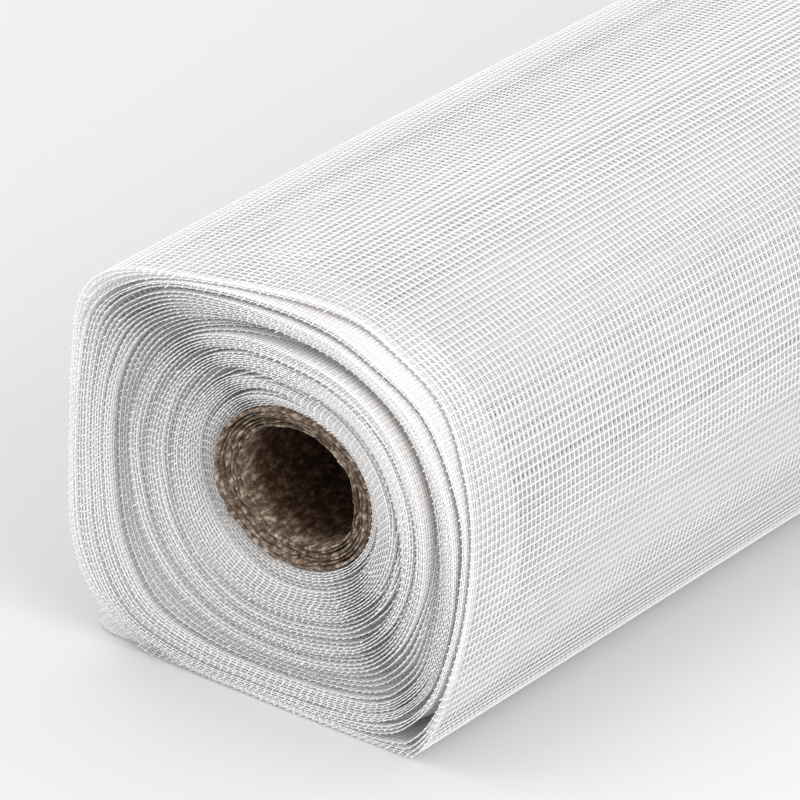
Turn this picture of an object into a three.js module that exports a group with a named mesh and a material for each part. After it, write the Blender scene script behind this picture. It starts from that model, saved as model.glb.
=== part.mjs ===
// Roll of woven insect netting wound on a paper core, lying on its side.
// Millimetres, +Z up. The roll's axis runs along Y, the open face with the
// uneven turns looks towards -Y. The origin is on the surface the roll lies on,
// under the middle of the part's box.
import * as THREE from "three";

// ---- driving sizes -------------------------------------------------------
const ROLL_LENGTH = 595; // length of the tight inner turns, the netting's width
const CORE_HEIGHT = 55.8; // the core's middle above the surface
const FIT_GAP = 0.3; // between pieces that touch

// The wound form in section, seen from the -Y end: a loosely wound roll that has
// sagged to a rounded square. Each row is one flattened side: the direction it
// faces, and how far it lies from the core's middle.
const WRAP_SIDES = [
  { side: "right", facesDeg: -5.6, distance: 49.2 },
  { side: "shoulder", facesDeg: 45.2, distance: 44.6 },
  { side: "top", facesDeg: 90.3, distance: 43.9 },
  { side: "left", facesDeg: 178.9, distance: 59.5 },
  { side: "underside", facesDeg: 266.5, distance: 61.6 },
];
const WRAP_SQUARENESS = 4.2; // higher is squarer, 2 is round
const CORNER = { facesDeg: 135, squarer: 2.8 }; // the upper left corner is the tightest
const ROUND_RADIUS = 51; // the inner turns stay rounder than the sagged wrap: they tend to this circle
const TURN_STEPS = 80; // facets round the roll

// The core: a paper tube pressed slightly oval by the winding.
const CORE_HALF_WIDTH = 22.0;
const CORE_HALF_HEIGHT = 19.3;
const CORE_WALL = 5.0;
const CORE_SET_BACK = 1.6; // of the core's ends behind the netting's
const CORE_STEPS = 48;

// Relief of an end face, from the core outwards. share is the way from the core
// (0) to the outer wrap (1), and setBack is how far the turns' edges lie behind
// the foremost ones there. The deep rows are the slack gap between the tight
// inner bundle and the looser outer turns.
const NEAR_END = [
  { share: 0.0, setBack: 2.6 },
  { share: 0.08, setBack: 1.2 },
  { share: 0.26, setBack: 0.4 },
  { share: 0.44, setBack: 0.8 },
  { share: 0.5, setBack: 1.6 },
  { share: 0.55, setBack: 5.0 },
  { share: 0.6, setBack: 5.4 },
  { share: 0.64, setBack: 2.2 },
  { share: 0.76, setBack: 1.0 },
  { share: 0.88, setBack: 0.6 },
  { share: 0.95, setBack: 1.2 },
  { share: 1.0, setBack: 1.6 },
];
const FAR_END = [
  { share: 0.0, setBack: 2.2 },
  { share: 0.12, setBack: 1.0 },
  { share: 0.34, setBack: 1.8 },
  { share: 0.52, setBack: 0.6 },
  { share: 0.66, setBack: 1.4 },
  { share: 0.72, setBack: 3.6 },
  { share: 0.78, setBack: 1.6 },
  { share: 0.92, setBack: 1.0 },
  { share: 1.0, setBack: 1.6 },
];
// The outer turns have crept along the core. Each row says how far behind (or,
// below 0, in front of) the end's plane the outer wrap's edge lies at an angle.
// At the far end the same turns stand out where they lie back here.
const CREEP = [
  { atDeg: 0, back: 8.0 },
  { atDeg: 15, back: 10.2 },
  { atDeg: 39, back: 14.6 },
  { atDeg: 60, back: 14.0 },
  { atDeg: 80, back: 13.4 },
  { atDeg: 105, back: 8.4 },
  { atDeg: 129, back: 1.2 },
  { atDeg: 156, back: -4.0 },
  { atDeg: 180, back: -6.3 },
  { atDeg: 205, back: -6.6 },
  { atDeg: 218, back: -4.8 },
  { atDeg: 232, back: 0.4 },
  { atDeg: 250, back: 0.2 },
  { atDeg: 285, back: -0.3 },
  { atDeg: 305, back: -1.0 },
  { atDeg: 320, back: 1.6 },
  { atDeg: 335, back: 4.6 },
  { atDeg: 360, back: 8.0 },
];
const CREEP_SCALE = { near: 1, far: -0.45 };
const CREEP_POWER = 5; // how quickly the creep dies away from the outer wrap inwards
// Slight waists and swells of the outer wrap along the roll.
const SWELLS = [
  { alongMm: 0, swell: 0.0 },
  { alongMm: 90, swell: 0.5 },
  { alongMm: 210, swell: -0.3 },
  { alongMm: 330, swell: 0.4 },
  { alongMm: 470, swell: -0.4 },
  { alongMm: 595, swell: 0.1 },
];

// The loose end of the netting: the last few centimetres lie on the surface and
// show along the lower left of the roll.
const LOOSE_THICKNESS = 1.0;
const LOOSE_SET_BACK = { near: 3.0, far: 4.0 };
// Its section, from under the roll to the free edge: x from the core's middle,
// and the height of its underside.
const LOOSE_SECTION = [
  { x: -47.2, under: 0.0 },
  { x: -51.0, under: 0.0 },
  { x: -55.0, under: 0.1 },
  { x: -58.5, under: 0.6 },
  { x: -61.5, under: 1.6 },
];

// ---- section functions ---------------------------------------------------
const rad = THREE.MathUtils.degToRad;

// Distance from the core's middle to the outer wrap at angle a. The underside is
// cut level where it rests.
function wrapRadius(a) {
  const squareness =
    WRAP_SQUARENESS +
    CORNER.squarer * Math.max(0, Math.cos(a - rad(CORNER.facesDeg))) ** 2;
  let sum = 0;
  for (const { facesDeg, distance } of WRAP_SIDES)
    sum += Math.max(0, Math.cos(a - rad(facesDeg)) / distance) ** squareness;
  const r = sum ** (-1 / squareness);
  const down = -Math.sin(a);
  return down * r > CORE_HEIGHT ? CORE_HEIGHT / down : r;
}

function ovalRadius(a, halfWidth, halfHeight) {
  return 1 / Math.hypot(Math.cos(a) / halfWidth, Math.sin(a) / halfHeight);
}

// The turn that lies at a share of the way from the core to the outer wrap.
function turnRadius(share, a, swell) {
  const inner = ovalRadius(a, CORE_HALF_WIDTH + FIT_GAP, CORE_HALF_HEIGHT + FIT_GAP);
  const outer = ROUND_RADIUS + (wrapRadius(a) - ROUND_RADIUS) * share ** 0.7;
  // a swell leaves the resting side level
  const free = THREE.MathUtils.smoothstep(Math.sin(a), -0.6, -0.2);
  return inner + (outer - inner) * share + swell * share * free;
}

// The part's box is centred on x = 0.
const reach = { low: Infinity, high: -Infinity };
for (let i = 0; i < TURN_STEPS; i++) {
  const a = (2 * Math.PI * i) / TURN_STEPS,
    x = wrapRadius(a) * Math.cos(a);
  reach.low = Math.min(reach.low, x);
  reach.high = Math.max(reach.high, x);
}
for (const { x } of LOOSE_SECTION) reach.low = Math.min(reach.low, x);
reach.high += Math.max(...SWELLS.map(({ swell }) => swell));
const CORE_X = -(reach.low + reach.high) / 2;

// A closed profile turned about the roll's axis: each profile point holds
// (1 + share, y), and place() gives the vertex of that point at an angle.
function turned(profile, steps, place) {
  const geometry = new THREE.LatheGeometry(profile, steps);
  const at = geometry.getAttribute("position");
  for (let i = 0; i < at.count; i++) {
    const x = at.getX(i),
      z = at.getZ(i),
      turn = Math.round((Math.atan2(z, x) / (2 * Math.PI)) * steps);
    const a = (2 * Math.PI * ((turn + steps) % steps)) / steps;
    const p = place(Math.max(0, Math.hypot(x, z) - 1), at.getY(i), a);
    at.setXYZ(i, CORE_X + p.r * Math.cos(a), p.y, CORE_HEIGHT + p.r * Math.sin(a));
  }
  geometry.deleteAttribute("normal");
  geometry.deleteAttribute("uv");
  geometry.computeVertexNormals();
  return geometry;
}

function named(name, geometry, colour, roughness) {
  const mesh = new THREE.Mesh(
    geometry,
    new THREE.MeshStandardMaterial({ color: colour, roughness, metalness: 0 }),
  );
  mesh.name = name;
  return mesh;
}

// ---- the netting ---------------------------------------------------------
const HALF = ROLL_LENGTH / 2;
const nettingProfile = [];
for (const { share, setBack } of NEAR_END)
  nettingProfile.push(new THREE.Vector2(1 + share, -HALF + setBack));
for (const { alongMm } of SWELLS.slice(1, -1))
  nettingProfile.push(new THREE.Vector2(2, -HALF + alongMm));
for (const { share, setBack } of [...FAR_END].reverse())
  nettingProfile.push(new THREE.Vector2(1 + share, HALF - setBack));
nettingProfile.push(nettingProfile[0].clone());

function swellAt(y) {
  const along = y + HALF;
  for (let i = 1; i < SWELLS.length; i++) {
    const a = SWELLS[i - 1],
      b = SWELLS[i];
    if (along <= b.alongMm)
      return THREE.MathUtils.lerp(
        a.swell,
        b.swell,
        THREE.MathUtils.smoothstep(along, a.alongMm, b.alongMm),
      );
  }
  return SWELLS[SWELLS.length - 1].swell;
}

function creepAt(a) {
  const deg = (THREE.MathUtils.radToDeg(a) + 360) % 360;
  for (let i = 1; i < CREEP.length; i++) {
    const from = CREEP[i - 1],
      to = CREEP[i];
    if (deg <= to.atDeg)
      return THREE.MathUtils.lerp(
        from.back,
        to.back,
        THREE.MathUtils.smoothstep(deg, from.atDeg, to.atDeg),
      );
  }
  return CREEP[0].back;
}

const netRoll = named(
  "net_roll",
  turned(nettingProfile, TURN_STEPS, (share, y, a) => {
    const back = share ** CREEP_POWER * creepAt(a);
    let moved = y;
    if (y < -HALF + 10) moved += CREEP_SCALE.near * back;
    else if (y > HALF - 10) moved -= CREEP_SCALE.far * back;
    return { r: turnRadius(share, a, share > 0.5 ? swellAt(y) : 0), y: moved };
  }),
  0xefefec,
  0.6,
);

// ---- the core ------------------------------------------------------------
// share 0 is the bore, 1 the outside. The inner plies are worn back a little.
const CORE_HALF = HALF - CORE_SET_BACK;
const coreProfile = [
  { share: 0, y: -CORE_HALF + 1.6 },
  { share: 0.3, y: -CORE_HALF + 0.9 },
  { share: 0.7, y: -CORE_HALF + 0.3 },
  { share: 1, y: -CORE_HALF },
  { share: 1, y: CORE_HALF },
  { share: 0.6, y: CORE_HALF - 0.3 },
  { share: 0, y: CORE_HALF - 1.2 },
].map(({ share, y }) => new THREE.Vector2(1 + share, y));
coreProfile.push(coreProfile[0].clone());

const coreTube = named(
  "core_tube",
  turned(coreProfile, CORE_STEPS, (share, y, a) => {
    const wall = CORE_WALL * (1 - share);
    return {
      r: ovalRadius(a, CORE_HALF_WIDTH - wall, CORE_HALF_HEIGHT - wall),
      y,
    };
  }),
  0xa58968,
  0.85,
);

// ---- the loose end -------------------------------------------------------
const strip = new THREE.Shape();
LOOSE_SECTION.forEach(({ x, under }, i) =>
  strip[i ? "lineTo" : "moveTo"](x, under),
);
for (const { x, under } of [...LOOSE_SECTION].reverse())
  strip.lineTo(x, under + LOOSE_THICKNESS);
strip.closePath();
const looseLength = ROLL_LENGTH - LOOSE_SET_BACK.near - LOOSE_SET_BACK.far;
const looseGeometry = new THREE.ExtrudeGeometry(strip, {
  depth: looseLength,
  steps: 1,
  bevelEnabled: false,
});
looseGeometry.rotateX(Math.PI / 2); // the section stands in X and Z, and the length runs to -Y
looseGeometry.translate(CORE_X, HALF - LOOSE_SET_BACK.far, 0);
const looseEnd = named("loose_end", looseGeometry, 0xefefec, 0.6);

const roll = new THREE.Group();
roll.add(netRoll, coreTube, looseEnd);

export default roll;
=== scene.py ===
"""Roll of insect netting on a paper core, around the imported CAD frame.

Lengths inside this file are millimetres until a mesh is written; Blender gets metres.
theta is the angle round the roll from +X, counter-clockwise as seen from the -Y end.
turn is how many times the cloth has gone round the core, from 0 at the core to TURNS.
"""

import math

import bpy
import numpy as np
from mathutils import Matrix, Vector


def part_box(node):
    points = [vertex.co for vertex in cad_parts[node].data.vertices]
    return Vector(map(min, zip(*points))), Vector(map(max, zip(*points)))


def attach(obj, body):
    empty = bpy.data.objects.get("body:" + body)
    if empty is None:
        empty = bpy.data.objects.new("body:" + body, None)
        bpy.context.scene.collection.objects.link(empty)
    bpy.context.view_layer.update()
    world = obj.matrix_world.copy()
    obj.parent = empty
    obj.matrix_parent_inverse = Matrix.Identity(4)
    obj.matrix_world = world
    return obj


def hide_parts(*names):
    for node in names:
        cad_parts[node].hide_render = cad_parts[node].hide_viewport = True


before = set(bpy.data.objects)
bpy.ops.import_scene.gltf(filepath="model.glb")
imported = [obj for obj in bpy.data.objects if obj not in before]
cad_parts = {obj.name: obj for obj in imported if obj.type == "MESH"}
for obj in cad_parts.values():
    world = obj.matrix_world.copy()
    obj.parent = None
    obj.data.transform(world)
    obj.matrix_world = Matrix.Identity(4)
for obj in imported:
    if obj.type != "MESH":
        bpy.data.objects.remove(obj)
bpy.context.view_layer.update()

MM = 0.001

# ---------------------------------------------------------------- section, as in the CAD
HALF = 297.5
CORE_Z = 55.8
low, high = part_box("core_tube")
CORE_X = (low[0] + high[0]) / 2 / MM
WRAP_SIDES = [(-5.6, 49.2), (45.2, 44.6), (90.3, 43.9), (178.9, 59.5), (266.5, 61.6)]
WRAP_SQUARENESS = 4.2
CORNER_DEG, CORNER_SQUARER = 135.0, 2.8
ROUND_RADIUS = 51.0
SWELLS = ([0, 90, 210, 330, 470, 595], [0.0, 0.5, -0.3, 0.4, -0.4, 0.1])

TURNS = 50
START_DEG = 228.0  # each turn begins on the loose end's side and goes clockwise
WARP_PITCH, WEFT_PITCH = 1.92, 1.6  # along the turn, and along the roll
WARP_R, WEFT_R = 0.14, 0.12
OUTER_WARP_R, OUTER_WEFT_R = 0.135, 0.135  # the outermost turn isn't pulled as tight
EDGE = 0.6  # from the cut tips to the first weft
CORE_CUT = 1.6  # the core's ends lie this far behind the netting's
FULL_FROM = TURNS - 3.0  # from this turn on the cloth runs the whole length of the roll


def wrap_radius(a):
    squareness = WRAP_SQUARENESS + CORNER_SQUARER * np.maximum(0, np.cos(a - math.radians(CORNER_DEG))) ** 2
    total = sum(np.maximum(0, np.cos(a - math.radians(f)) / d) ** squareness for f, d in WRAP_SIDES)
    r = total ** (-1 / squareness)
    down = np.maximum(-np.sin(a), 1e-6)
    return np.where(down * r > CORE_Z, CORE_Z / down, r)


def inner_radius(a):
    return 1 / np.hypot(np.cos(a) / 22.3, np.sin(a) / 19.6)


def smoothstep(x, a, b):
    t = np.clip((x - a) / (b - a), 0, 1)
    return t * t * (3 - 2 * t)


def swell_at(y):
    along = y + HALF
    return np.interp(along, *SWELLS)


# ---------------------------------------------------------------- tables over (theta, turn)
N_TH, PER_TURN = 360, 8
GRID_TH = np.arange(N_TH) * (2 * math.pi / N_TH)
GRID_X = np.arange(TURNS * PER_TURN + 1) / PER_TURN


def round_table(rows, spread=5):
    """A value for every degree from (degrees, value) rows, a little smoothed."""
    deg, val = zip(*rows)
    v = np.interp(np.arange(N_TH), deg, val, period=360)
    k = np.exp(-0.5 * (np.arange(-20, 21) / spread) ** 2)
    k /= k.sum()
    return np.array([(v[(np.arange(-20, 21) + i) % N_TH] * k).sum() for i in range(N_TH)])


def wander(seed, nodes, size, together=1):
    """Smooth seeded noise over (theta, turn): neighbouring groups of turns differ, and a turn runs on into the next."""
    g = np.random.RandomState(seed).uniform(-1, 1, (nodes, TURNS + 3)) * size
    p = np.arange(N_TH) * nodes / N_TH
    i = p.astype(int)
    t = (p - i)[:, None]
    t = t * t * (3 - 2 * t)
    a = g[i % nodes] * (1 - t) + g[(i + 1) % nodes] * t
    x = GRID_X / together
    j = x.astype(int)
    u = (x - j)[None, :]
    u = u * u * (3 - 2 * u)
    return a[:, j] * (1 - u) + a[:, j + 1] * u


def lookup(field, a, x):
    """Bilinear value of a (theta, turn) field."""
    p = (np.asarray(a) % (2 * math.pi)) * N_TH / (2 * math.pi)
    i = np.floor(p).astype(int)
    t = p - i
    q = np.clip(np.asarray(x) * PER_TURN, 0, TURNS * PER_TURN - 1e-6)
    j = np.floor(q).astype(int)
    u = q - j
    i0, i1 = i % N_TH, (i + 1) % N_TH
    return (field[i0, j] * (1 - t) + field[i1, j] * t) * (1 - u) + (
        field[i0, j + 1] * (1 - t) + field[i1, j + 1] * t
    ) * u


def window(from_deg, to_deg, soft=8.0):
    """1 between two angles, going counter-clockwise, and 0 elsewhere."""
    mid, half = (from_deg + to_deg) / 2, (to_deg - from_deg) / 2
    off = np.abs((np.arange(N_TH) - mid + 180) % 360 - 180)
    return 1 - smoothstep(off, half - soft / 2, half + soft / 2)


def share_field(knots, gaps, seed, unevenness):
    """The share of the way from core to wrap, for each angle and turn. knots are (turn, table of shares), and gaps open the turns at a path (degrees, turn)."""
    weight = np.exp(wander(seed, 9, unevenness) + wander(seed + 1, 23, unevenness * 0.3) + wander(seed + 2, 6, unevenness * 1.3, 4))
    for path, show, size, width in gaps:
        at = round_table(path)[:, None]
        weight = weight + show[:, None] * size * np.exp(-(((GRID_X[None, :] - at) / width) ** 2))
    run = np.cumsum(weight, axis=1)
    run -= run[:, :1]
    out = np.zeros_like(run)
    for (x0, s0), (x1, s1) in zip(knots, knots[1:]):
        i0, i1 = int(x0 * PER_TURN), int(x1 * PER_TURN)
        part = (run[:, i0 : i1 + 1] - run[:, i0 : i0 + 1]) / (run[:, i1 : i1 + 1] - run[:, i0 : i0 + 1])
        out[:, i0 : i1 + 1] = s0[:, None] + (s1 - s0)[:, None] * part
    return out


def edge_field(knots, rows, spread, noises):
    """How far behind the end plane the cloth's cut edge lies, for each angle and turn."""
    table = np.array([np.interp(GRID_X, knots, values) for _, values in rows])
    out = np.zeros((N_TH, GRID_X.size))
    for j in range(GRID_X.size):
        out[:, j] = round_table([(deg, table[i, j]) for i, (deg, _) in enumerate(rows)], spread)
    for n in noises:
        out = out + n
    return out


ALL_ROUND = np.ones(N_TH)


def share_at(radii):
    """Share at which a turn has these radii, in mm every 15 degrees from 0."""
    want = round_table([(15 * i, r) for i, r in enumerate(radii)], 4)
    s = np.linspace(0, 1, 401)
    out = np.zeros(N_TH)
    for i, a in enumerate(GRID_TH):
        inner = inner_radius(a)
        outer = ROUND_RADIUS + (wrap_radius(a) - ROUND_RADIUS) * s**0.7
        out[i] = np.interp(want[i], inner + (outer - inner) * s, s)
    return out


def flat(v):
    return np.full(N_TH, float(v))


# near end: the tight inner bundle, the slack gap with its few fanned turns, the outer
# group, and the last loose wraps, which have slipped back on the right
BUNDLE = share_at([36.5, 35.5, 34.7, 34.1, 33.5, 33.1, 33.2, 35.2, 38.2, 41.8, 44.2, 45.6, 47.1, 47.7, 49.5, 49.6, 47.4, 44.8, 43.6, 43.8, 45.0, 43.2, 40.4, 38.0])
GROUP_IN = share_at([37.9, 37.2, 36.7, 36.1, 35.4, 35.2, 35.7, 38.1, 41.4, 46.5, 50.6, 52.0, 52.3, 53.9, 58.0, 60.8, 55.3, 50.6, 48.9, 49.8, 52.3, 50.3, 44.8, 40.6])
GROUP_OUT = share_at([42.6, 41.0, 39.7, 39.0, 38.2, 38.4, 39.0, 42.3, 47.6, 55.4, 59.6, 56.6, 55.4, 57.2, 63.0, 68.0, 60.8, 54.8, 52.9, 54.3, 57.0, 55.4, 50.0, 45.2])
FIRST_OUT = share_at([44.4, 42.6, 41.3, 40.4, 39.8, 40.1, 41.0, 43.8, 49.2, 57.4, 62.4, 58.8, 57.4, 59.6, 65.2, 69.6, 62.6, 56.3, 54.4, 56.0, 60.4, 57.8, 51.9, 47.1])
# turns at which the tight bundle, the slack turns, the outer group and the first wraps end
BUNDLE_END, SLACK_END, GROUP_END, FIRST_END = 30, 35, 43, 46


def in_bundle(*rows):
    return [(deg, BUNDLE_END * f) for deg, f in rows]


def in_slack(f):
    return [(0, BUNDLE_END + (SLACK_END - BUNDLE_END) * f)]


def in_group(f):
    return [(0, SLACK_END + (GROUP_END - SLACK_END) * f)]


def in_wraps(f):
    return [(0, GROUP_END + (TURNS - GROUP_END) * f)]


RING_1 = in_bundle((0, 0.457), (60, 0.448), (100, 0.40), (130, 0.54), (160, 0.61), (180, 0.60), (205, 0.64), (245, 0.705), (290, 0.72), (340, 0.62))
RING_2 = in_bundle((90, 0.21), (150, 0.229), (185, 0.21), (225, 0.229), (235, 0.171), (300, 0.162), (345, 0.105))
RING_3 = in_bundle((240, 0.59), (300, 0.571), (350, 0.49), (30, 0.833), (70, 0.833))
RING_4 = in_bundle((0, 0.80), (90, 0.72), (150, 0.80), (210, 0.86), (270, 0.88), (320, 0.82))
NEAR_GAPS = [
    (RING_1, ALL_ROUND, 1.2, 0.5),
    (RING_2, window(85, 358, 20), 1.0, 0.45),
    (RING_3, window(232, 356, 15), 0.7, 0.45),
    (RING_4, ALL_ROUND, 0.7, 0.4),
    (in_wraps(0.05), window(112, 150, 20), 3.0, 0.4),
    (in_wraps(0.47), window(112, 156, 20), 2.5, 0.4),
    (in_wraps(0.03), window(-55, 112, 30), 5.0, 0.35),
    (in_wraps(0.46), window(-50, 112, 30), 6.5, 0.35),
    (in_slack(0.95), window(-30, 110, 30), 7.0, 0.4),
    (in_group(0.36), window(155, 275, 20), 2.4, 0.4),
    (in_group(0.80), window(155, 285, 20), 2.4, 0.4),
    (in_wraps(0.5), window(290, 316, 14), 2.6, 0.45),
    (in_group(0.06), window(290, 324, 14), 1.6, 0.45),
    (in_slack(0.64), window(288, 332, 14), 0.8, 0.45),
    (in_slack(0.2), window(288, 332, 14), 0.8, 0.45),
    (in_group(0.5), window(288, 318, 14), 1.4, 0.4),
]
NEAR_SHARE = share_field(
    [(0, flat(0.004)), (BUNDLE_END, BUNDLE), (SLACK_END, GROUP_IN), (GROUP_END, GROUP_OUT), (FIRST_END, FIRST_OUT), (TURNS, flat(1.0))],
    NEAR_GAPS,
    11,
    0.2,
)
KNOTS = [0, 5, 13, 22, 29.6, 30.8, 34.0, 35.2, 38, 42.7, 43.3, 45.7, 46.3, 50]
NEAR_EDGE = edge_field(
    KNOTS,
    [
        (0, [2.2, 1.2, 0.6, 1.0, 2.3, 8.6, 9.2, 4.4, 4.7, 5.0, 7.2, 7.5, 8.0, 8.4]),
        (18, [2.2, 1.2, 0.6, 1.0, 2.5, 11.6, 12.2, 4.8, 5.2, 5.8, 7.6, 8.0, 10.6, 11.2]),
        (39, [2.2, 1.2, 0.6, 1.0, 2.6, 13.0, 13.6, 5.0, 5.6, 6.5, 9.0, 9.4, 14.6, 15.0]),
        (60, [2.2, 1.2, 0.6, 1.0, 2.4, 13.0, 13.6, 4.6, 5.0, 5.8, 6.8, 7.2, 13.2, 13.8]),
        (75, [2.2, 1.1, 0.5, 0.9, 2.3, 12.6, 13.2, 4.4, 4.8, 5.4, 7.0, 7.4, 13.6, 14.4]),
        (90, [2.2, 1.0, 0.5, 0.9, 2.2, 11.4, 12.0, 4.0, 4.4, 5.0, 6.6, 7.0, 10.6, 11.2]),
        (105, [2.2, 1.0, 0.5, 0.8, 1.8, 7.6, 8.4, 3.2, 3.0, 3.2, 4.6, 4.8, 7.6, 8.2]),
        (129, [2.4, 1.4, 0.6, 0.7, 1.2, 2.8, 3.2, 2.0, 1.4, 1.0, 0.9, 1.0, 1.6, 1.8]),
        (150, [3.0, 2.4, 1.1, 0.6, 0.8, 2.0, 2.2, 1.2, -0.4, -2.2, -2.6, -2.9, -4.0, -4.2]),
        (180, [3.8, 3.4, 1.9, 0.6, 0.4, 2.4, 2.8, 0.2, -1.4, -3.8, -4.2, -4.5, -5.4, -5.8]),
        (205, [3.8, 3.4, 2.0, 0.6, 0.4, 1.8, 2.2, 0.0, -1.6, -4.0, -4.6, -4.9, -6.2, -6.6]),
        (218, [3.6, 3.0, 1.6, 0.5, 0.4, 1.6, 2.0, 0.4, -0.8, -2.4, -2.8, -3.0, -3.8, -4.0]),
        (230, [3.2, 2.4, 1.2, 0.4, 0.5, 1.6, 2.0, 1.0, 0.4, 0.0, 0.0, 0.2, 0.8, 1.2]),
        (255, [2.6, 1.4, 0.6, 0.4, 0.6, 1.8, 2.2, 1.2, 0.6, 0.2, 0.1, 0.2, 0.2, 0.3]),
        (285, [2.4, 1.2, 0.6, 0.6, 1.0, 2.4, 2.8, 1.2, 0.8, 0.4, 0.2, 0.2, 0.0, -0.1]),
        (308, [2.2, 1.2, 0.6, 0.8, 1.4, 2.2, 2.4, 1.6, 1.6, 1.0, 0.2, 0.1, -0.4, -0.4]),
        (323, [2.2, 1.2, 0.6, 0.9, 1.6, 2.8, 3.2, 2.4, 2.2, 1.8, 0.6, 0.8, 1.2, 1.4]),
        (335, [2.2, 1.2, 0.6, 1.0, 2.1, 5.0, 5.6, 3.4, 3.4, 3.4, 3.0, 3.4, 3.8, 4.2]),
    ],
    5,
    [wander(21, 6, 0.10), wander(22, 20, 0.04), wander(23, 5, 0.34, 3)],
)
ring = np.zeros((N_TH, GRID_X.size))
for path, show, size, width in NEAR_GAPS[:4]:
    at = round_table(path)[:, None]
    ring += show[:, None] * 0.9 * np.exp(-(((GRID_X[None, :] - at - 0.6) / 0.9) ** 2))
NEAR_EDGE += ring

# far end, which the photograph doesn't show: the same cloth, wound with other slips
FAR_SHARE = share_field(
    [
        (0, flat(0.004)),
        (28, round_table([(0, 0.66), (70, 0.66), (140, 0.55), (200, 0.57), (270, 0.62), (320, 0.63)])),
        (32, round_table([(0, 0.72), (70, 0.71), (140, 0.66), (200, 0.70), (270, 0.75), (320, 0.73)])),
        (44, round_table([(0, 0.92), (90, 0.90), (160, 0.86), (230, 0.87), (300, 0.93)])),
        (TURNS, flat(1.0)),
    ],
    [
        ([(0, 14), (120, 12), (240, 17)], ALL_ROUND, 1.8, 0.5),
        ([(0, 21), (180, 23)], ALL_ROUND, 1.0, 0.4),
        ([(0, 38), (180, 39.5)], window(80, 230, 40), 2.4, 0.4),
        ([(0, 44.4)], window(130, 270, 30), 3.0, 0.45),
    ],
    31,
    0.26,
)
FAR_EDGE = edge_field(
    [0, 5, 15, 26, 28.2, 30, 31.6, 33, 43, 44.2, 46.4, 47.2, 50],
    [
        (25, [2.0, 1.2, 1.6, 0.9, 1.2, 2.8, 2.4, 0.6, -1.6, -2.4, -3.2, -4.4, -4.8]),
        (45, [2.0, 1.2, 1.6, 0.9, 1.2, 2.8, 2.4, 0.6, -1.8, -2.6, -3.4, -4.8, -5.2]),
        (90, [2.2, 1.0, 1.4, 0.8, 1.4, 3.4, 2.8, 0.8, -1.0, -1.6, -2.2, -3.2, -3.6]),
        (140, [2.0, 1.0, 1.8, 1.0, 1.6, 4.2, 3.2, 1.4, 1.4, 1.6, 1.8, 2.2, 2.4]),
        (205, [2.2, 1.2, 1.6, 0.8, 1.2, 3.4, 2.6, 1.4, 1.8, 3.2, 3.6, 4.4, 4.8]),
        (270, [2.2, 1.0, 1.6, 0.8, 1.2, 3.4, 2.6, 1.4, 1.4, 1.6, 1.6, 1.7, 1.8]),
        (320, [2.2, 1.2, 1.2, 0.8, 1.0, 3.0, 2.2, 1.0, 0.8, 0.6, 0.6, 0.8, 0.9]),
    ],
    12,
    [wander(41, 6, 0.10), wander(42, 20, 0.04), wander(43, 5, 0.34, 3)],
)


def end_weight(dist, reach):
    return np.exp(-((np.maximum(dist, 0) / reach) ** 2))


def net_share(a, x, y):
    """Share of the turn x at angle a and length y. Away from the ends the wraps lie tight."""
    near = end_weight(y + HALF - 8, 34.0)
    far = end_weight(HALF - y - 8, 34.0)
    tight = 1 - (TURNS - x) * 0.0195
    s = tight + near * (lookup(NEAR_SHARE, a, x) - tight) + far * (lookup(FAR_SHARE, a, x) - tight)
    # bands that lie only at the ends follow their end's table throughout
    inside = smoothstep(-np.asarray(x, float), -(FULL_FROM - 0.1), -(FULL_FROM - 0.8))
    end = np.where(np.asarray(y) < 0, lookup(NEAR_SHARE, a, x), lookup(FAR_SHARE, a, x))
    return s + inside * (end - s)


def net_radius(a, x, y):
    s = np.clip(net_share(a, x, y), 0, 1)
    outer = ROUND_RADIUS + (wrap_radius(a) - ROUND_RADIUS) * s**0.7
    inner = inner_radius(a)
    free = smoothstep(np.sin(a), -0.6, -0.2)
    return inner + (outer - inner) * s + swell_at(y) * s * free * smoothstep(s, 0.5, 0.8) - 0.3


def to_xyz(a, r, y):
    a, r, y = np.broadcast_arrays(a, r, y)
    return np.stack([CORE_X + r * np.cos(a), y, np.maximum(CORE_Z + r * np.sin(a), 0.28)], -1)


def near_y(a, x):
    return -HALF + lookup(NEAR_EDGE, a, x)


def far_y(a, x):
    return HALF - lookup(FAR_EDGE, a, x)


# ---------------------------------------------------------------- the spiral by arc length
FINE = 360
t_fine = np.arange(TURNS * FINE + 1) / FINE


def angle_of(t):
    return math.radians(START_DEG) - 2 * math.pi * np.asarray(t)


p_fine = to_xyz(angle_of(t_fine), net_radius(angle_of(t_fine), t_fine, -HALF + 3), 0.0)
arc_fine = np.concatenate([[0], np.cumsum(np.linalg.norm(np.diff(p_fine, axis=0), axis=1))])
CLOTH_LENGTH = float(arc_fine[-1])
N_WARP = int((CLOTH_LENGTH - 2) / WARP_PITCH)
warp_arc = 1.0 + np.arange(N_WARP) * WARP_PITCH
warp_t = np.interp(warp_arc, arc_fine, t_fine)
warp_a = angle_of(warp_t)
WARPS_A_ROW = 180  # warps in one row of the flat layout that the textures use


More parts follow.
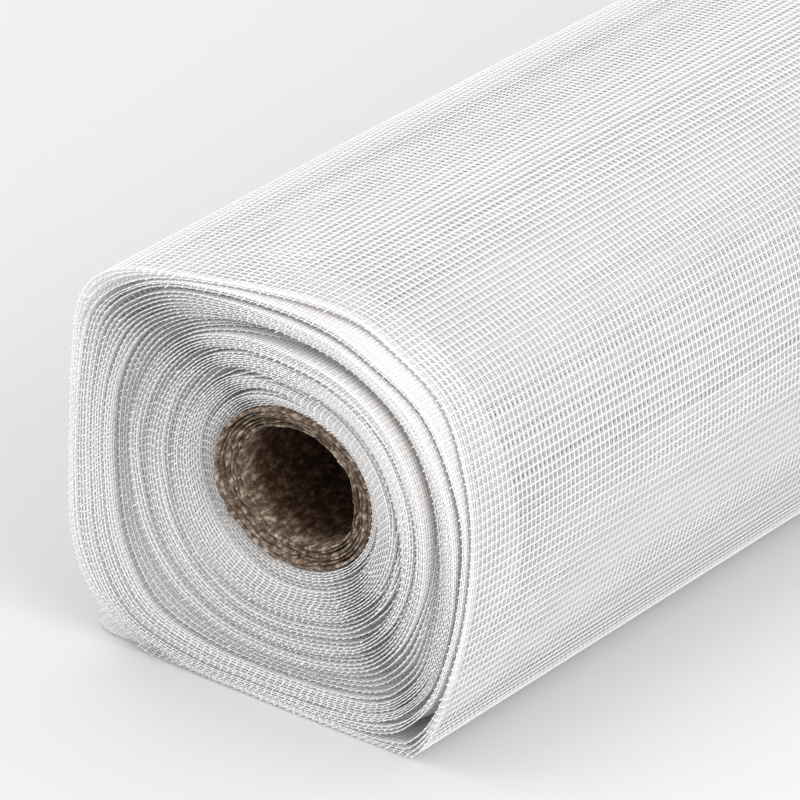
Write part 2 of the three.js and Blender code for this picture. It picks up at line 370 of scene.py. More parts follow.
# ---------------------------------------------------------------- mesh helpers
def build(name, verts, faces, uvs=None, smooth=True):
    """faces is a list of (n, k) index arrays, and uvs a list of (n, k, 2) arrays to match. verts in mm."""
    me = bpy.data.meshes.new(name)
    verts = np.asarray(verts, np.float64).reshape(-1, 3) * MM
    me.vertices.add(len(verts))
    me.vertices.foreach_set("co", verts.astype(np.float32).ravel())
    loops = np.concatenate([f.ravel() for f in faces]).astype(np.int32)
    totals = np.concatenate([np.full(len(f), f.shape[1], np.int32) for f in faces])
    starts = np.concatenate([[0], np.cumsum(totals)[:-1]]).astype(np.int32)
    me.loops.add(len(loops))
    me.loops.foreach_set("vertex_index", loops)
    me.polygons.add(len(totals))
    me.polygons.foreach_set("loop_start", starts)
    me.polygons.foreach_set("use_smooth", np.full(len(totals), smooth))
    if uvs is not None:
        layer = me.uv_layers.new(name="OFBake")
        flat_uv = np.concatenate([u.reshape(-1, 2) for u in uvs]).astype(np.float32)
        layer.uv.foreach_set("vector", flat_uv.ravel())
    me.update(calc_edges=True)
    me.validate()
    obj = bpy.data.objects.new(name, me)
    bpy.context.scene.collection.objects.link(obj)
    return obj


def ring_vectors(a, sides, turn=0.0):
    """Unit vectors of a thread's section: out along the radius, and the other way given."""
    phi = turn + np.arange(sides) * (2 * math.pi / sides)
    return np.cos(phi), np.sin(phi)


def radial(a):
    return np.stack([np.cos(a), np.zeros_like(a), np.sin(a)], -1)


def tangent(a):
    return np.stack([-np.sin(a), np.zeros_like(a), np.cos(a)], -1)


Y_AXIS = np.array([0.0, 1.0, 0.0])


class Pile:
    """Collects the verts, faces and layout of many threads for one mesh."""

    def __init__(self):
        self.verts, self.faces, self.uvs, self.count, self.row = [], [], [], 0, 0

    def weft(self, points, out, radius, sides):
        """One thread round the roll: points (n, 3), out the radial unit vectors."""
        n = len(points)
        c, s = ring_vectors(None, sides, math.pi / 4)
        ringed = (
            points[:, None, :]
            + out[:, None, :] * (c * radius)[None, :, None]
            + Y_AXIS[None, None, :] * (s * radius)[None, :, None]
        )
        i = np.arange(n - 1)[:, None]
        j = np.arange(sides)[None, :]
        k = (j + 1) % sides
        quads = np.stack([i * sides + j, i * sides + k, (i + 1) * sides + k, (i + 1) * sides + j], -1).reshape(-1, 4)
        u0 = (i % WARPS_A_ROW) / WARPS_A_ROW + 0 * j
        row = self.row + i // WARPS_A_ROW
        v0 = row + (j + 0.1) / (sides + 0.2)
        v1 = row + (j + 0.9) / (sides + 0.2)
        du = 1 / WARPS_A_ROW
        uv = np.stack(
            [np.stack([u0, v0], -1), np.stack([u0, v1], -1), np.stack([u0 + du, v1], -1), np.stack([u0 + du, v0], -1)],
            -2,
        ).reshape(-1, 4, 2)
        self.verts.append(ringed.reshape(-1, 3))
        self.faces.append(quads + self.count)
        self.uvs.append(uv)
        self.count += n * sides
        self.row += (n - 2) // WARPS_A_ROW + 1

    def object(self, name):
        for uv in self.uvs:
            uv[..., 1] /= self.row
        quads = np.concatenate(self.faces)
        return build(name, np.concatenate(self.verts), [quads], [np.concatenate(self.uvs)])


def warp_threads(name, points, out, side, radius, sides=4):
    """Threads along the roll: points (n, levels, 3), out and side (n, 3) unit vectors. Capped where they start."""
    n, levels = points.shape[:2]
    c, s = ring_vectors(None, sides, math.pi / 4)
    ringed = (
        points[:, :, None, :]
        + out[:, None, None, :] * (c * radius)[None, None, :, None]
        + side[:, None, None, :] * (s * radius)[None, None, :, None]
    )
    base = np.arange(n)[:, None, None] * levels * sides
    i = np.arange(levels - 1)[None, :, None]
    j = np.arange(sides)[None, None, :]
    k = (j + 1) % sides
    quads = np.stack(
        [base + i * sides + j, base + (i + 1) * sides + j, base + (i + 1) * sides + k, base + i * sides + k], -1
    ).reshape(-1, 4)
    across = int(math.ceil(math.sqrt(n)))
    col = (np.arange(n) % across)[:, None, None] + 0 * i + 0 * j
    row = (np.arange(n) // across)[:, None, None] + 0 * i + 0 * j
    u0, u1 = (col + (j + 0.1) / (sides + 0.2)) / across, (col + (j + 0.9) / (sides + 0.2)) / across
    v0, v1 = (row + (i + 0.1) / levels) / across, (row + (i + 1.0) / levels) / across
    uv = np.stack(
        [np.stack([u0, v0], -1), np.stack([u0, v1], -1), np.stack([u1, v1], -1), np.stack([u1, v0], -1)], -2
    ).reshape(-1, 4, 2)
    faces, uvs = [quads], [uv]
    for end in (0, levels - 1):
        cap = (np.arange(n) * levels * sides + end * sides)[:, None] + (
            np.arange(sides) if end == 0 else np.arange(sides)[::-1]
        )[None, :]
        spot = np.stack([(col[:, 0, 0] + 0.5) / across, (row[:, 0, 0] + 0.96) / across], -1)
        faces.append(cap)
        uvs.append(np.repeat(spot[:, None, :], sides, 1) + np.random.RandomState(5).uniform(-1e-5, 1e-5, (n, sides, 2)))
    return build(name, ringed.reshape(-1, 3), faces, uvs)


# ---------------------------------------------------------------- materials
def node_material(name):
    mat = bpy.data.materials.new(name)
    mat.use_nodes = True
    tree = mat.node_tree
    return mat, tree, tree.nodes["Principled BSDF"], tree.nodes["Material Output"]


def add(tree, kind, **inputs):
    n = tree.nodes.new(kind)
    for key, value in inputs.items():
        if hasattr(n, key):
            setattr(n, key, value)
        else:
            n.inputs[key.replace("_", " ")].default_value = value
    return n


def math_node(tree, op, a, b=None, clamp=False):
    n = tree.nodes.new("ShaderNodeMath")
    n.operation = op
    n.use_clamp = clamp
    for i, v in enumerate((a, b)):
        if v is None:
            continue
        if isinstance(v, (int, float)):
            n.inputs[i].default_value = v
        else:
            tree.links.new(v, n.inputs[i])
    return n.outputs[0]


def mix_colour(tree, factor, a, b, blend="MIX"):
    n = tree.nodes.new("ShaderNodeMix")
    n.data_type = "RGBA"
    n.blend_type = blend
    for socket, v in ((n.inputs[0], factor), (n.inputs[6], a), (n.inputs[7], b)):
        if isinstance(v, (int, float)):
            socket.default_value = v
        elif isinstance(v, tuple):
            socket.default_value = (*v, 1.0)
        else:
            tree.links.new(v, socket)
    return n.outputs[2]


def noise(tree, scale, detail=3.0, roughness=0.5, stretch=(1, 1, 1)):
    """Noise in the roll's own space, whose units are metres."""
    where = tree.nodes.new("ShaderNodeTexCoord")
    mapping = tree.nodes.new("ShaderNodeMapping")
    mapping.inputs["Scale"].default_value = stretch
    tree.links.new(where.outputs["Object"], mapping.inputs["Vector"])
    n = tree.nodes.new("ShaderNodeTexNoise")
    n.inputs["Scale"].default_value = scale
    n.inputs["Detail"].default_value = detail
    n.inputs["Roughness"].default_value = roughness
    tree.links.new(mapping.outputs["Vector"], n.inputs["Vector"])
    return n.outputs["Fac"]


THREAD_LIGHT, THREAD_DARK = (0.985, 0.985, 0.98), (0.93, 0.928, 0.92)


def thread_material():
    mat, tree, bsdf, _ = node_material("netting_thread")
    fine = noise(tree, 900.0, 2.0)
    broad = noise(tree, 28.0, 3.0)
    tone = math_node(tree, "ADD", math_node(tree, "MULTIPLY", fine, 0.5), math_node(tree, "MULTIPLY", broad, 0.5))
    colour = mix_colour(tree, math_node(tree, "MULTIPLY_ADD", tone, 1.8, clamp=True), THREAD_DARK, THREAD_LIGHT)
    # MULTIPLY_ADD's third input lowers the range
    colour.node.inputs[0].links[0].from_node.inputs[2].default_value = -0.4
    tree.links.new(colour, bsdf.inputs["Base Color"])
    tree.links.new(math_node(tree, "MULTIPLY_ADD", fine, 0.25), bsdf.inputs["Roughness"])
    bsdf.inputs["Roughness"].links[0].from_node.inputs[2].default_value = 0.3
    bsdf.inputs["IOR"].default_value = 1.5
    bsdf.inputs["Specular IOR Level"].default_value = 0.45
    bump = tree.nodes.new("ShaderNodeBump")
    bump.inputs["Strength"].default_value = 0.25
    bump.inputs["Distance"].default_value = 0.00005
    tree.links.new(noise(tree, 2600.0, 1.0, stretch=(1, 1, 1)), bump.inputs["Height"])
    tree.links.new(bump.outputs["Normal"], bsdf.inputs["Normal"])
    return mat


def weave_nodes(tree, u_m, v_m, shift_u=0.0, shift_v=0.0, wider=1.0):
    """Thread distances in metres from the cloth's own lengths: (warp mask, weft mask, height)."""

    def away(position, pitch, offset):
        p = math_node(tree, "ADD", math_node(tree, "DIVIDE", position, pitch), offset)
        return math_node(tree, "MULTIPLY", math_node(tree, "ABSOLUTE", math_node(tree, "SUBTRACT", math_node(tree, "FRACT", p), 0.5)), pitch)

    du = away(u_m, WARP_PITCH * MM, 0.5 + shift_u)
    dv = away(v_m, WEFT_PITCH * MM, 0.5 - EDGE / WEFT_PITCH + shift_v)

    def mask(d, radius):
        return math_node(tree, "MULTIPLY", math_node(tree, "SUBTRACT", radius * 1.12, d), 1 / (radius * 0.24), clamp=True)

    def dome(d, radius):
        x = math_node(tree, "DIVIDE", d, radius, clamp=True)
        return math_node(tree, "SQRT", math_node(tree, "SUBTRACT", 1.0, math_node(tree, "MULTIPLY", x, x), clamp=True))

    a, b = mask(du, wider * WARP_R * MM), mask(dv, wider * WEFT_R * MM)
    height = math_node(tree, "MAXIMUM", dome(du, WARP_R * MM), math_node(tree, "MULTIPLY", dome(dv, WEFT_R * MM), 0.7))
    return a, b, height


def cloth_coordinates(tree, wide, high):
    where = tree.nodes.new("ShaderNodeUVMap")
    where.uv_map = "OFBake"
    parts = tree.nodes.new("ShaderNodeSeparateXYZ")
    tree.links.new(where.outputs["UV"], parts.inputs[0])
    return (
        math_node(tree, "MULTIPLY", parts.outputs["X"], wide),
        math_node(tree, "MULTIPLY", parts.outputs["Y"], high),
    )


HAZE = 0.46  # how far a doubled band's windows are filled in: it stands for the unresolved turns behind, and is partly painted light, the light these many layers scatter into the gaps


def net_material(name, wide, high, dark=THREAD_DARK, light=THREAD_LIGHT, doubled=False):
    """Open weave: threads with clear windows between them. wide and high are the metres that the layout's unit square
    stands for. doubled is for two turns that lie together, half a window apart, and it also fills their windows to
    HAZE, which is partly painted light.
    """
    mat, tree, bsdf, _ = node_material(name)
    u_m, v_m = cloth_coordinates(tree, wide, high)
    a, b, height = weave_nodes(tree, u_m, v_m)
    cover = math_node(tree, "MAXIMUM", a, b)
    if doubled:
        c, d, _ = weave_nodes(tree, u_m, v_m, 0.5, 0.5)
        cover = math_node(tree, "MAXIMUM", cover, math_node(tree, "MAXIMUM", math_node(tree, "MAXIMUM", c, d), HAZE))
    tree.links.new(cover, bsdf.inputs["Alpha"])
    tone = math_node(tree, "MULTIPLY_ADD", noise(tree, 40.0), 1.6, clamp=True)
    tone.node.inputs[2].default_value = -0.3
    tree.links.new(mix_colour(tree, tone, dark, light), bsdf.inputs["Base Color"])
    bsdf.inputs["Roughness"].default_value = 0.42
    bsdf.inputs["Specular IOR Level"].default_value = 0.45
    bump = tree.nodes.new("ShaderNodeBump")
    bump.inputs["Strength"].default_value = 0.7
    bump.inputs["Distance"].default_value = 0.00012
    tree.links.new(height, bump.inputs["Height"])
    tree.links.new(bump.outputs["Normal"], bsdf.inputs["Normal"])
    return mat


def packed_material(name, wide, high, shade):
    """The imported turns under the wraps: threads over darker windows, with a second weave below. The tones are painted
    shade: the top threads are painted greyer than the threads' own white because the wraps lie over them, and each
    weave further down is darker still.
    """
    mat, tree, bsdf, _ = node_material(name)
    u_m, v_m = cloth_coordinates(tree, wide, high)
    a, b, height = weave_nodes(tree, u_m, v_m, 0.0, 0.0, 1.35)
    c, d, _ = weave_nodes(tree, math_node(tree, "MULTIPLY", u_m, 1.013), v_m, 0.37, 0.45, 1.35)
    e, f, _ = weave_nodes(tree, math_node(tree, "MULTIPLY", u_m, 0.991), v_m, 0.12, 0.22, 1.2)
    top = math_node(tree, "MAXIMUM", a, b)
    below = math_node(tree, "MAXIMUM", c, d)
    third = math_node(tree, "MAXIMUM", e, f)
    # painted shade: the tones fall from the top threads down to the deepest windows, for the shade the layers above
    # cast
    deepest_painted_shade = tuple(shade * v for v in (0.20, 0.197, 0.193))
    third_weave_painted_shade = tuple(shade * v for v in (0.40, 0.395, 0.39))
    mid = tuple(shade * v for v in (0.63, 0.625, 0.62))
    up = tuple(shade * v for v in (0.745, 0.74, 0.73))
    colour = mix_colour(tree, top, mix_colour(tree, below, mix_colour(tree, third, deepest_painted_shade, third_weave_painted_shade), mid), up)
    tree.links.new(mix_colour(tree, math_node(tree, "MULTIPLY", noise(tree, 30.0), 0.18), colour, (0.66, 0.655, 0.65)), bsdf.inputs["Base Color"])
    bsdf.inputs["Roughness"].default_value = 0.6
    bsdf.inputs["Specular IOR Level"].default_value = 0.3
    bump = tree.nodes.new("ShaderNodeBump")
    bump.inputs["Strength"].default_value = 0.7
    bump.inputs["Distance"].default_value = 0.00015
    tree.links.new(height, bump.inputs["Height"])
    tree.links.new(bump.outputs["Normal"], bsdf.inputs["Normal"])
    return mat


def paper_material():
    mat, tree, bsdf, _ = node_material("kraft_paper")
    fibre = noise(tree, 620.0, 5.0, 0.7, (1.0, 0.6, 1.0))
    cloud = noise(tree, 60.0, 4.0, 0.6)
    ramp = tree.nodes.new("ShaderNodeValToRGB")
    ramp.color_ramp.elements[0].position = 0.36
    ramp.color_ramp.elements[0].color = (0.022, 0.014, 0.010, 1)
    ramp.color_ramp.elements[1].position = 0.66
    ramp.color_ramp.elements[1].color = (0.68, 0.57, 0.47, 1)
    middle = ramp.color_ramp.elements.new(0.5)
    middle.color = (0.165, 0.115, 0.080, 1)
    tree.links.new(fibre, ramp.inputs["Fac"])
    colour = mix_colour(tree, math_node(tree, "MULTIPLY", cloud, 0.5), ramp.outputs["Color"], (0.19, 0.14, 0.10))
    # painted shade: away from the cut ends the paper is darker, in the bore and in the slits between the plies, for the
    # shade deep inside the tube
    where = tree.nodes.new("ShaderNodeTexCoord")
    parts = tree.nodes.new("ShaderNodeSeparateXYZ")
    tree.links.new(where.outputs["Object"], parts.inputs[0])
    depth = math_node(tree, "SUBTRACT", (HALF - CORE_CUT) * MM, math_node(tree, "ABSOLUTE", parts.outputs["Y"]))
    inside = math_node(tree, "DIVIDE", math_node(tree, "SUBTRACT", depth, 0.0024), 0.008, clamp=True)
    colour = mix_colour(tree, inside, colour, mix_colour(tree, 1.0, colour, (0.36, 0.26, 0.20), "MULTIPLY"))
    tree.links.new(colour, bsdf.inputs["Base Color"])
    bsdf.inputs["Roughness"].default_value = 0.9
    bsdf.inputs["Specular IOR Level"].default_value = 0.2
    bump = tree.nodes.new("ShaderNodeBump")
    bump.inputs["Strength"].default_value = 0.8
    bump.inputs["Distance"].default_value = 0.0003
    tree.links.new(fibre, bump.inputs["Height"])
    tree.links.new(bump.outputs["Normal"], bsdf.inputs["Normal"])
    return mat


THREADS = thread_material()
PAPER = paper_material()

# ---------------------------------------------------------------- cut ends of every turn
# the edge is woven closer: a doubled cross thread, then the open weave
EDGE_ROWS = (0.0, 0.5, 1.0)
WEFT_SIDES = {"near": (4, 3, 3), "far": (3, 3, 3)}
TIP_SIDES = {"near": 4, "far": 3}
tips = np.random.RandomState(77)
net_parts = []
for end, edge_y, inward in (("near", near_y, 1.0), ("far", far_y, -1.0)):
    rows = Pile()
    edge = edge_y(warp_a, warp_t)
    for row, sides in enumerate(WEFT_SIDES[end]):
        y = edge + inward * (EDGE + EDGE_ROWS[row] * WEFT_PITCH)
        r = net_radius(warp_a, warp_t, y)
        over = 0.045 * np.where((np.arange(N_WARP) + row) % 2 == 0, 1.0, -1.0)
        rows.weft(to_xyz(warp_a, r + over, y), radial(warp_a), WEFT_R, sides)
    net_parts.append(rows.object(f"netting_{end}_cross_threads"))
    # the long threads' cut tips stand a little past the last cross thread, unevenly
    past = tips.uniform(-0.12, 0.2, N_WARP) + np.where(tips.rand(N_WARP) < 0.04, tips.uniform(0.2, 0.8, N_WARP), 0)
    past = np.where(warp_t < 2.2, np.minimum(past, 0.0), past)
    levels = np.stack([edge - inward * past, edge + inward * (EDGE + 0.2), edge + inward * 2.6], 1)
    r = net_radius(warp_a[:, None], warp_t[:, None], levels)
    r[:, 0] += tips.uniform(-0.06, 0.06, N_WARP)
    lean = np.zeros_like(levels)
    lean[:, 0] = tips.uniform(-0.1, 0.1, N_WARP)
    points = to_xyz(warp_a[:, None], r, levels) + tangent(warp_a)[:, None, :] * lean[:, :, None]
    net_parts.append(warp_threads(f"netting_{end}_cut_tips", points, radial(warp_a), tangent(warp_a), WARP_R, TIP_SIDES[end]))

# ---------------------------------------------------------------- the turns' bands behind the tips
BAND_WIDE, BAND_HIGH = WARPS_A_ROW * WARP_PITCH * MM, 1.2
BAND_STEP = 16 * WEFT_PITCH  # from one row of the layout to the next
BAND_FROM, BAND_TO = 0.35, 24.0
# painted shade: the bands' net is painted greyer and warmer than the threads, for the shade in the gaps between the
# turns at the ends
net_band = net_material("netting_band", BAND_WIDE, BAND_HIGH, (0.86, 0.84, 0.825), (0.92, 0.905, 0.895), doubled=True)
bands = []
for end, edge_y, inward in (("near", near_y, 1.0), ("far", far_y, -1.0)):
    use = np.arange(0, int(np.searchsorted(warp_t, FULL_FROM)) + 1, 2)
    a, t = warp_a[use], warp_t[use]
    depth = np.array([BAND_FROM, 6.0, BAND_TO])
    y = edge_y(a, t)[:, None] + inward * depth[None, :]
    verts = to_xyz(a[:, None], net_radius(a[:, None], t[:, None], y), y)
    n, m = verts.shape[:2]
    i = np.arange(n - 1)[:, None]
    j = np.arange(m - 1)[None, :]
    quads = np.stack([i * m + j, i * m + j + 1, (i + 1) * m + j + 1, (i + 1) * m + j], -1).reshape(-1, 4)
    col = (i * 2) % WARPS_A_ROW + 0 * j
    row = (i * 2) // WARPS_A_ROW + 0 * j
    u0 = col * WARP_PITCH * MM / BAND_WIDE
    u1 = (col + 2) * WARP_PITCH * MM / BAND_WIDE
    v0 = (row * BAND_STEP + depth[j]) * MM / BAND_HIGH
    v1 = (row * BAND_STEP + depth[j + 1]) * MM / BAND_HIGH
    uv = np.stack([np.stack([u0, v0], -1), np.stack([u0, v1], -1), np.stack([u1, v1], -1), np.stack([u1, v0], -1)], -2)
    band = build(f"netting_{end}_turns", verts, [quads], [uv.reshape(-1, 4, 2)])
    band.data.materials.append(net_band)
    bands.append((band, (BAND_TO - BAND_FROM) * MM, float(arc_fine[int(FULL_FROM * FINE)]) * MM))

# ---------------------------------------------------------------- the wraps that run the whole length
LONG_ROWS = 366
OPEN_END = TURNS - 0.07  # where the last turn leaves the roll and lies on the surface


def along_y(a, x, q):
    """Length positions from edge to edge, q from 0 to 1."""
    n, f = near_y(a, x), far_y(a, x)
    return n + (f - n) * q


def wrap_sheet(name, t0, t1, q, wide, high):
    use = np.arange(int(np.searchsorted(warp_t, t0)), int(np.searchsorted(warp_t, t1)), 2)
    a, t = warp_a[use], warp_t[use]
    y = along_y(a[:, None], t[:, None], q[None, :])
    verts = to_xyz(a[:, None], net_radius(a[:, None], t[:, None], y), y)
    n, m = verts.shape[:2]
    i = np.arange(n - 1)[:, None]
    j = np.arange(m - 1)[None, :]
    quads = np.stack([i * m + j, i * m + j + 1, (i + 1) * m + j + 1, (i + 1) * m + j], -1).reshape(-1, 4)
    u0, u1 = i * 2 * WARP_PITCH * MM / wide + 0 * j, (i + 1) * 2 * WARP_PITCH * MM / wide + 0 * j
    length = (2 * EDGE + LONG_ROWS * WEFT_PITCH) * MM
    v0, v1 = q[j] * length / high + 0 * i, q[j + 1] * length / high + 0 * i
    uv = np.stack([np.stack([u0, v0], -1), np.stack([u0, v1], -1), np.stack([u1, v1], -1), np.stack([u1, v0], -1)], -2)
    return build(name, verts, [quads], [uv.reshape(-1, 4, 2)]), (n - 1) * 2 * WARP_PITCH * MM


Q_LONG = np.concatenate([[0.0007, 0.006, 0.02, 0.035, 0.055, 0.08, 0.11], np.linspace(0.15, 0.85, 22), [0.89, 0.92, 0.945, 0.965, 0.98, 0.994, 0.9993]])
wraps, wraps_long = wrap_sheet("netting_wraps", FULL_FROM, TURNS - 1.0, Q_LONG, 0.72, 0.6)
# painted shade: the wraps' net is painted greyer than the outermost turn's threads, for the shade of that turn lying
# over it
wraps.data.materials.append(net_material("netting_wrap", 0.72, 0.6, (0.765, 0.76, 0.75), (0.865, 0.86, 0.85)))

# the outermost turn, thread by thread
first, last = int(np.searchsorted(warp_t, TURNS - 1.02)), int(np.searchsorted(warp_t, OPEN_END))
top_a, top_t = warp_a[first:last], warp_t[first:last]
q_warp = np.concatenate([[0.0038, 0.012], np.linspace(0.03, 0.10, 5), np.linspace(0.15, 0.85, 12), np.linspace(0.90, 0.97, 5), [0.988, 0.9962]])
y = along_y(top_a[:, None], top_t[:, None], q_warp[None, :])
points = to_xyz(top_a[:, None], net_radius(top_a[:, None], top_t[:, None], y), y)
net_parts.append(warp_threads("netting_outer_long_threads", points, radial(top_a), tangent(top_a), OUTER_WARP_R))
bend = np.arange(0, last - first, 2)
bend = bend if bend[-1] == last - first - 1 else np.append(bend, last - first - 1)
for part, (r0, r1) in enumerate(((2, 186), (186, LONG_ROWS - 1))):
    rows = Pile()
    a, t = top_a[bend], top_t[bend]
    for row in range(r0, r1):
        q = (EDGE + row * WEFT_PITCH) / (2 * EDGE + LONG_ROWS * WEFT_PITCH)
        y = along_y(a, t, q)
        rows.weft(to_xyz(a, net_radius(a, t, y) - 0.06, y), radial(a), OUTER_WEFT_R, 3)
    net_parts.append(rows.object(f"netting_outer_cross_threads_{part + 1}"))
for part in net_parts:
    part.data.materials.append(THREADS)

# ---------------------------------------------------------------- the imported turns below
body_deg = np.arange(0, 360, 2)
body_a = np.radians(body_deg)
ys = np.concatenate([[-272, -262, -250, -236], np.linspace(-215, 215, 20), [236, 250, 262, 272]])
CAP_TURNS = (0.6, 7.0, 14.0, 21.0, 28.0, 31.0, 35.0, 39.0, 43.0, 45.5)
CAP_BACK = 4.0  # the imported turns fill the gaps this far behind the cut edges
rings = []
for x in CAP_TURNS:
    x = np.full_like(body_a, x)
    y = near_y(body_a, x) + CAP_BACK + 5.0 * window(-10, 112, 40)[body_deg]
    rings.append(to_xyz(body_a, net_radius(body_a, x, y), y))
for y in ys:
    rings.append(to_xyz(body_a, net_radius(body_a, np.full_like(body_a, FULL_FROM - 0.4), y), y))
for x in CAP_TURNS[::-1]:
    x = np.full_like(body_a, x)
    y = far_y(body_a, x) - CAP_BACK
    rings.append(to_xyz(body_a, net_radius(body_a, x, y), y))
rings = np.array(rings)  # (rings, angles, 3)
m, n = rings.shape[:2]
i = np.arange(m)[:, None]
j = np.arange(n)[None, :]
quads = np.stack([i * n + j, i * n + (j + 1) % n, ((i + 1) % m) * n + (j + 1) % n, ((i + 1) % m) * n + j], -1).reshape(-1, 4)
along = np.concatenate([[0], np.cumsum(np.linalg.norm(np.diff(rings[:, 0], axis=0), axis=1))])
along = np.append(along, along[-1] + 560.0)
round_it = np.concatenate([[0], np.cumsum(np.linalg.norm(np.roll(rings[24], -1, 0) - rings[24], axis=1))])
BODY_HIGH = 1.3
u0, u1 = round_it[j] * MM / 0.36 + 0 * i, round_it[j + 1] * MM / 0.36 + 0 * i
v0, v1 = along[i] * MM / BODY_HIGH + 0 * j, along[i + 1] * MM / BODY_HIGH + 0 * j
uv = np.stack([np.stack([u0, v0], -1), np.stack([u1, v0], -1), np.stack([u1, v1], -1), np.stack([u0, v1], -1)], -2)
packed = build("netting_packed_turns", rings.reshape(-1, 3), [quads], [uv.reshape(-1, 4, 2)])
packed.data.materials.append(packed_material("netting_packed", 0.36, BODY_HIGH, 1.0))

# ---------------------------------------------------------------- the loose end on the surface
LOOSE_X = np.array([-36.0, -40.0, -44.0, -47.2, -51.0, -55.0, -58.5, -61.2]) + CORE_X
LOOSE_Z = np.array([0.45, 0.40, 0.36, 0.34, 0.36, 0.5, 1.0, 1.9])
loose_arc = np.concatenate([[0], np.cumsum(np.hypot(np.diff(LOOSE_X), np.diff(LOOSE_Z)))])
n_loose = int(loose_arc[-1] / WARP_PITCH)
loose_u = np.arange(n_loose + 1) * WARP_PITCH
lx, lz = np.interp(loose_u, loose_arc, LOOSE_X), np.interp(loose_u, loose_arc, LOOSE_Z)
loose_len = 2 * HALF - 7.2
# the near corner is worn round
corner = 2.6 * np.maximum(0, (loose_u - loose_u[-4]) / (loose_u[-1] - loose_u[-4])) ** 2
q = np.linspace(0, 1, 40)
ly = (-HALF + 3.2 + corner)[:, None] + (loose_len - corner)[:, None] * q[None, :]
wave = 0.25 * np.sin(q[None, :] * 23.0 + 0.7) * (np.arange(n_loose + 1) / n_loose)[:, None] ** 2
verts = np.stack([lx[:, None] + 0 * ly, ly, lz[:, None] + np.maximum(wave, -0.2)], -1)
n, m = verts.shape[:2]
i = np.arange(n - 1)[:, None]
j = np.arange(m - 1)[None, :]
quads = np.stack([i * m + j, i * m + j + 1, (i + 1) * m + j + 1, (i + 1) * m + j], -1).reshape(-1, 4)
u0, u1 = i * WARP_PITCH * MM / 0.1 + 0 * j, (i + 1) * WARP_PITCH * MM / 0.1 + 0 * j
v0, v1 = q[j] * loose_len * MM / 0.6 + 0 * i, q[j + 1] * loose_len * MM / 0.6 + 0 * i
uv = np.stack([np.stack([u0, v0], -1), np.stack([u0, v1], -1), np.stack([u1, v1], -1), np.stack([u1, v0], -1)], -2)
loose = build("netting_loose_end", verts, [quads], [uv.reshape(-1, 4, 2)])
loose.data.materials.append(net_material("netting_loose", 0.1, 0.6, (0.80, 0.79, 0.775), (0.88, 0.87, 0.855), doubled=True))

# ---------------------------------------------------------------- the paper core
PLIES = 6
WALL = 5.0
core_rnd = np.random.RandomState(9)
core_a = np.radians(np.arange(0, 360, 1.0))


def rough_round(rnd, nodes, size):
    g = rnd.uniform(-1, 1, nodes) * size
    p = np.arange(360) * nodes / 360
    i = p.astype(int)
    t = p - i
    t = t * t * (3 - 2 * t)
    return g[i % nodes] * (1 - t) + g[(i + 1) % nodes] * t


def core_radius(a, depth):
    """depth mm into the wall from the outside."""
    return 1 / np.hypot(np.cos(a) / (22.0 - depth), np.sin(a) / (19.3 - depth))


def ply_end(sign):
    """Rings across the wall's end from the bore out: every ply has a torn edge of its own and a slit beside it, which
    the paper's painted shade darkens.
    """
    out = []
    for k in range(PLIES - 1, -1, -1):
        d_in, d_out = (k + 1) * WALL / PLIES, k * WALL / PLIES
        back = 0.2 + 0.34 * k + rough_round(core_rnd, 9, 0.8) + rough_round(core_rnd, 37, 0.45) + rough_round(core_rnd, 150, 0.2)
        back = np.maximum(back, -0.5)
        # the inner plies at the lower left are torn back further
        back += 1.5 * (k / PLIES) ** 1.5 * np.maximum(0, np.cos(core_a - math.radians(205))) * 1.2
        slit = back + 3.8 + rough_round(core_rnd, 60, 0.8)
        open_by = 0.34 + rough_round(core_rnd, 17, 0.26) + rough_round(core_rnd, 90, 0.12)
        wob = rough_round(core_rnd, 26, 0.14) + rough_round(core_rnd, 90, 0.06)
        r_in = core_radius(core_a, d_in - 0.06) + (wob if k < PLIES - 1 else 0)
        r_out = core_radius(core_a, d_out + (np.maximum(open_by, 0.04) if k > 0 else 0.05)) + (wob if k > 0 else 0)
        y = sign * (HALF - CORE_CUT - back)
        y_slit = sign * (HALF - CORE_CUT - slit)
        if k < PLIES - 1:
            out.append(to_xyz(core_a, r_in, y_slit))
        out.append(to_xyz(core_a, r_in, y))
        out.append(to_xyz(core_a, (r_in + r_out) / 2 + 0.1, y + sign * (0.1 + rough_round(core_rnd, 170, 0.1))))
        out.append(to_xyz(core_a, r_out, y))
        if k > 0:
            out.append(to_xyz(core_a, r_out, y_slit))
    return out


near_end = ply_end(-1.0)
far_end = ply_end(1.0)
bore = []
for y in np.concatenate([np.linspace(-285, -200, 8), np.linspace(-150, 150, 7), np.linspace(200, 285, 8)])[::-1]:
    bump = 0.12 * np.sin(core_a * 3 + y * 0.05)
    bore.append(to_xyz(core_a, core_radius(core_a, WALL) + bump * 0.5, y))
skin = [to_xyz(core_a, core_radius(core_a, 0.0), y) for y in np.linspace(-288, 288, 9)]
rings = np.array(near_end + skin + far_end[::-1] + bore)
m, n = rings.shape[:2]
i = np.arange(m)[:, None]
j = np.arange(n)[None, :]
quads = np.stack([i * n + j, ((i + 1) % m) * n + j, ((i + 1) % m) * n + (j + 1) % n, i * n + (j + 1) % n], -1).reshape(-1, 4)
steps = np.maximum(np.linalg.norm(np.diff(np.concatenate([rings, rings[:1]]), axis=0), axis=2).mean(1), 0.05)
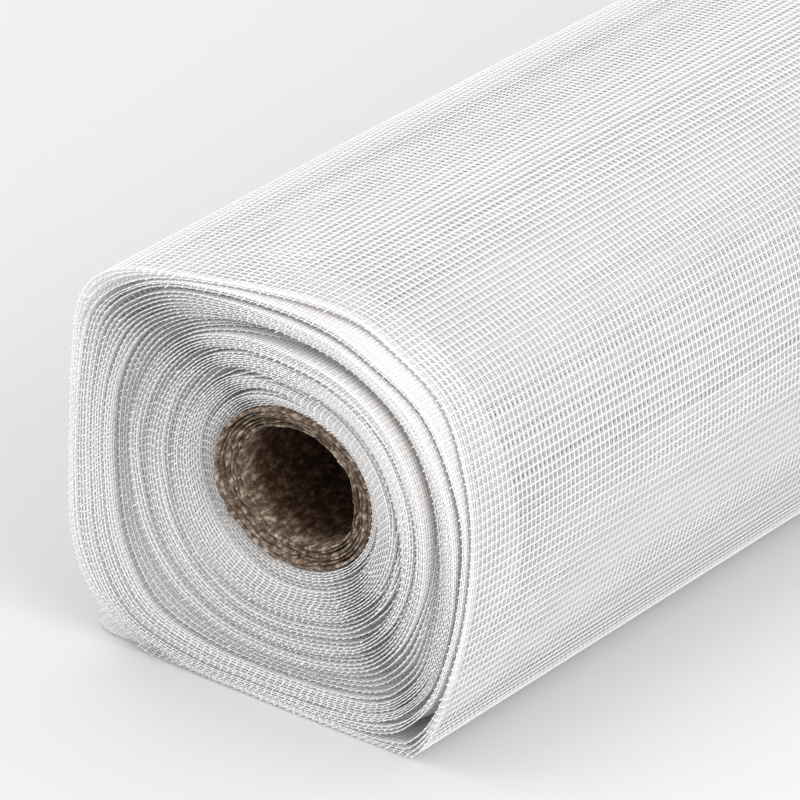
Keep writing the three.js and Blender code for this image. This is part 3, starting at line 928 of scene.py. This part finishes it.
# the layout gives the short rings of the ends more room than their length
room = np.concatenate([[0], np.cumsum(np.minimum(steps * 4, 12))])
room /= room[-1]
u0, u1 = j / n + 0 * i, (j + 1) / n + 0 * i
v0, v1 = room[i] + 0 * j, room[i + 1] + 0 * j
uv = np.stack([np.stack([u0, v0], -1), np.stack([u0, v1], -1), np.stack([u1, v1], -1), np.stack([u1, v0], -1)], -2)
core = build("paper_core", rings.reshape(-1, 3), [quads], [uv.reshape(-1, 4, 2)])
core.data.materials.append(PAPER)

# ---------------------------------------------------------------- what stands for what
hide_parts("net_roll")
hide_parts("loose_end")
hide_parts("core_tube")
for piece in [packed, wraps, loose, *[b for b, _, _ in bands], *net_parts]:
    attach(piece, "root")
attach(core, "root")

# ---------------------------------------------------------------- floor, light, camera
bpy.ops.mesh.primitive_plane_add(size=12.0, location=(0, 0, 0))
floor = bpy.context.object
floor.name = "floor"
mat, tree, bsdf, _ = node_material("floor")
tree.links.new(mix_colour(tree, noise(tree, 0.6, 2.0), (0.655, 0.655, 0.662), (0.675, 0.675, 0.682)), bsdf.inputs["Base Color"])
bsdf.inputs["Roughness"].default_value = 0.75
bsdf.inputs["Specular IOR Level"].default_value = 0.2
floor.data.materials.append(mat)

world = bpy.data.worlds.new("studio")
bpy.context.scene.world = world
world.use_nodes = True
world.node_tree.nodes["Background"].inputs["Color"].default_value = (0.985, 0.985, 1.0, 1)
world.node_tree.nodes["Background"].inputs["Strength"].default_value = 1.0


def area_light(name, place, at, size, power, colour=(1, 1, 1)):
    data = bpy.data.lights.new(name, "AREA")
    data.shape = "DISK"
    data.size = size
    data.energy = power
    data.color = colour
    obj = bpy.data.objects.new(name, data)
    bpy.context.scene.collection.objects.link(obj)
    obj.location = place
    obj.rotation_euler = (Vector(at) - Vector(place)).to_track_quat("-Z", "Y").to_euler()
    return obj


area_light("key", (-0.9, -0.3, 2.2), (0, -0.1, 0.03), 1.6, 14.0)
area_light("fill", (1.5, -0.7, 0.95), (0.05, -0.05, 0.02), 1.1, 15.0, (1.0, 0.985, 0.97))

F, PP = 7300.0, 400.0
CAM_X = np.array([0.78673366, 0.27763145, -0.55133558])
CAM_Y = np.array([0.61729259, -0.3538387, 0.70267206])
CAM_U = np.array([0.0, -0.89315114, -0.44975665])
P0 = np.array([(289.5 - PP) / F, (491.0 - PP) / F, 1.0]) * (F / 4.5)
eye = np.array([CORE_X, -296.5, CORE_Z]) - np.array([P0 @ CAM_X, P0 @ CAM_Y, P0 @ CAM_U])
data = bpy.data.cameras.new("camera")
data.sensor_width = 36.0
data.sensor_fit = "HORIZONTAL"
data.lens = F / 800 * 36.0
data.clip_start, data.clip_end = 0.05, 50.0
camera = bpy.data.objects.new("camera", data)
bpy.context.scene.collection.objects.link(camera)
turn = Matrix(((CAM_X[0], -CAM_X[1], -CAM_X[2]), (CAM_Y[0], -CAM_Y[1], -CAM_Y[2]), (CAM_U[0], -CAM_U[1], -CAM_U[2])))
camera.matrix_world = Matrix.Translation(Vector(eye * MM)) @ turn.to_4x4()
bpy.context.scene.camera = camera

scene = bpy.context.scene
scene.view_settings.view_transform = "Standard"
scene.cycles.transparent_max_bounces = 16
scene.cycles.diffuse_bounces = 6
scene.cycles.max_bounces = 8
